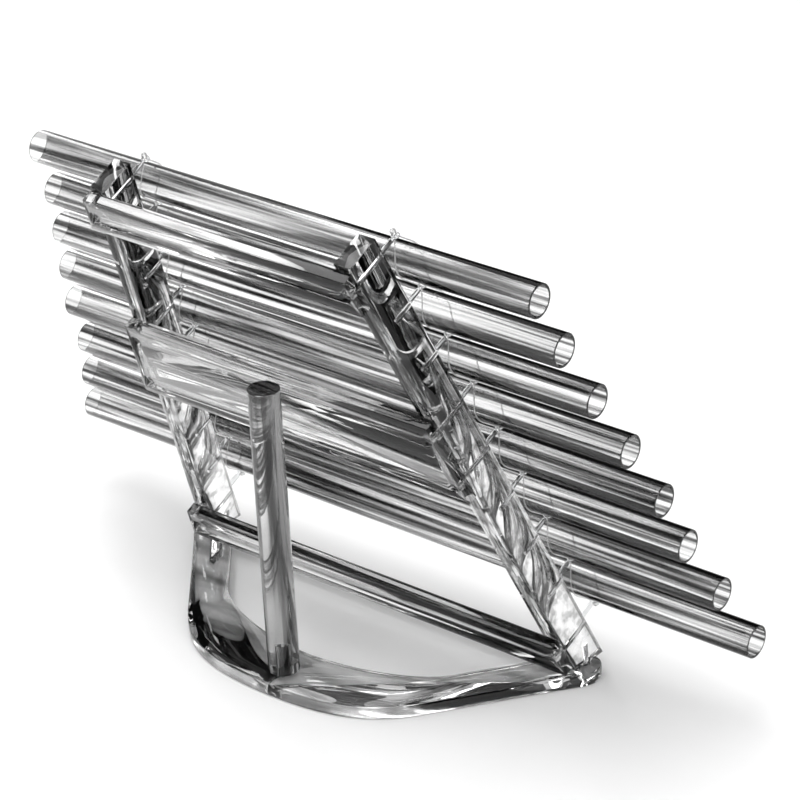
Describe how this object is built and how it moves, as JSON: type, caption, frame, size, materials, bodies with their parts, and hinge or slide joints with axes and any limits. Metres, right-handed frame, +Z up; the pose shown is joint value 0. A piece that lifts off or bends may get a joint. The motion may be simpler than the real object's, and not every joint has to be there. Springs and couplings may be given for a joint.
{
  "type": "crystal tube harp",
  "caption": "Set of open clear crystal tubes carried in cord cradles on a leaning clear rack, with a horseshoe base plate and a round back prop.",
  "frame": {"origin": "middle of the whole harp's bounding box at the underside of the base plate", "axes": "+X along the tubes, +Z up, the player's side is -Y and the back prop is on +Y"},
  "size_m": [0.51, 0.1646, 0.321],
  "materials": {
    "clear_quartz": "polished clear",
    "clear_acrylic": "polished clear",
    "clear_pin": "polished clear",
    "steel": "bright",
    "clear_cord": "clear monofilament"
  },
  "bodies": {
    "harp_frame": {"rail_left": "clear_acrylic", "rail_right": "clear_acrylic", "top_board": "clear_acrylic", "middle_board": "clear_acrylic", "bottom_board": "clear_acrylic", "eye_post_left_1": "clear_pin", "eye_post_left_2": "clear_pin", "eye_post_left_3": "clear_pin", "eye_post_left_4": "clear_pin", "eye_post_left_5": "clear_pin", "eye_post_left_6": "clear_pin", "eye_post_left_7": "clear_pin", "eye_post_left_8": "clear_pin", "eye_post_left_9": "clear_pin", "eye_post_right_1": "clear_pin", "eye_post_right_2": "clear_pin", "eye_post_right_3": "clear_pin", "eye_post_right_4": "clear_pin", "eye_post_right_5": "clear_pin", "eye_post_right_6": "clear_pin", "eye_post_right_7": "clear_pin", "eye_post_right_8": "clear_pin", "eye_post_right_9": "clear_pin", "post_nut_left_1": "steel", "post_nut_left_4": "steel", "post_nut_left_5": "steel", "post_nut_left_9": "steel", "post_nut_right_1": "steel", "post_nut_right_4": "steel", "post_nut_right_5": "steel", "post_nut_right_9": "steel", "front_cord_left": "clear_cord", "back_cord_left": "clear_cord", "front_cord_right": "clear_cord", "back_cord_right": "clear_cord", "cord_knot_left_top": "clear_cord", "cord_knot_left_bottom": "clear_cord", "cord_knot_right_top": "clear_cord", "cord_knot_right_bottom": "clear_cord", "base_plate": "clear_acrylic", "support_rod": "clear_acrylic", "rod_screw": "steel", "foot_screw_left": "steel", "foot_screw_right": "steel"},
    "body_tube_1": {"tube_1": "clear_quartz"},
    "body_tube_2": {"tube_2": "clear_quartz"},
    "body_tube_3": {"tube_3": "clear_quartz"},
    "body_tube_4": {"tube_4": "clear_quartz"},
    "body_tube_5": {"tube_5": "clear_quartz"},
    "body_tube_6": {"tube_6": "clear_quartz"},
    "body_tube_7": {"tube_7": "clear_quartz"},
    "body_tube_8": {"tube_8": "clear_quartz"}
  },
  "joints": [
    {"name": "tube_1_roll", "type": "hinge", "parent": "harp_frame", "child": "body_tube_1", "pos_m": [0, 0.02582, 0.29579], "axis": [1, 0, 0], "continuous": true},
    {"name": "tube_2_roll", "type": "hinge", "parent": "harp_frame", "child": "body_tube_2", "pos_m": [0, 0.01196, 0.26148], "axis": [1, 0, 0], "continuous": true},
    {"name": "tube_3_roll", "type": "hinge", "parent": "harp_frame", "child": "body_tube_3", "pos_m": [0, -0.0019, 0.22718], "axis": [1, 0, 0], "continuous": true},
    {"name": "tube_4_roll", "type": "hinge", "parent": "harp_frame", "child": "body_tube_4", "pos_m": [0, -0.01576, 0.19287], "axis": [1, 0, 0], "continuous": true},
    {"name": "tube_5_roll", "type": "hinge", "parent": "harp_frame", "child": "body_tube_5", "pos_m": [0, -0.02962, 0.15856], "axis": [1, 0, 0], "continuous": true},
    {"name": "tube_6_roll", "type": "hinge", "parent": "harp_frame", "child": "body_tube_6", "pos_m": [0, -0.04348, 0.12426], "axis": [1, 0, 0], "continuous": true},
    {"name": "tube_7_roll", "type": "hinge", "parent": "harp_frame", "child": "body_tube_7", "pos_m": [0, -0.05734, 0.08995], "axis": [1, 0, 0], "continuous": true},
    {"name": "tube_8_roll", "type": "hinge", "parent": "harp_frame", "child": "body_tube_8", "pos_m": [0, -0.0712, 0.05565], "axis": [1, 0, 0], "continuous": true}
  ]
}
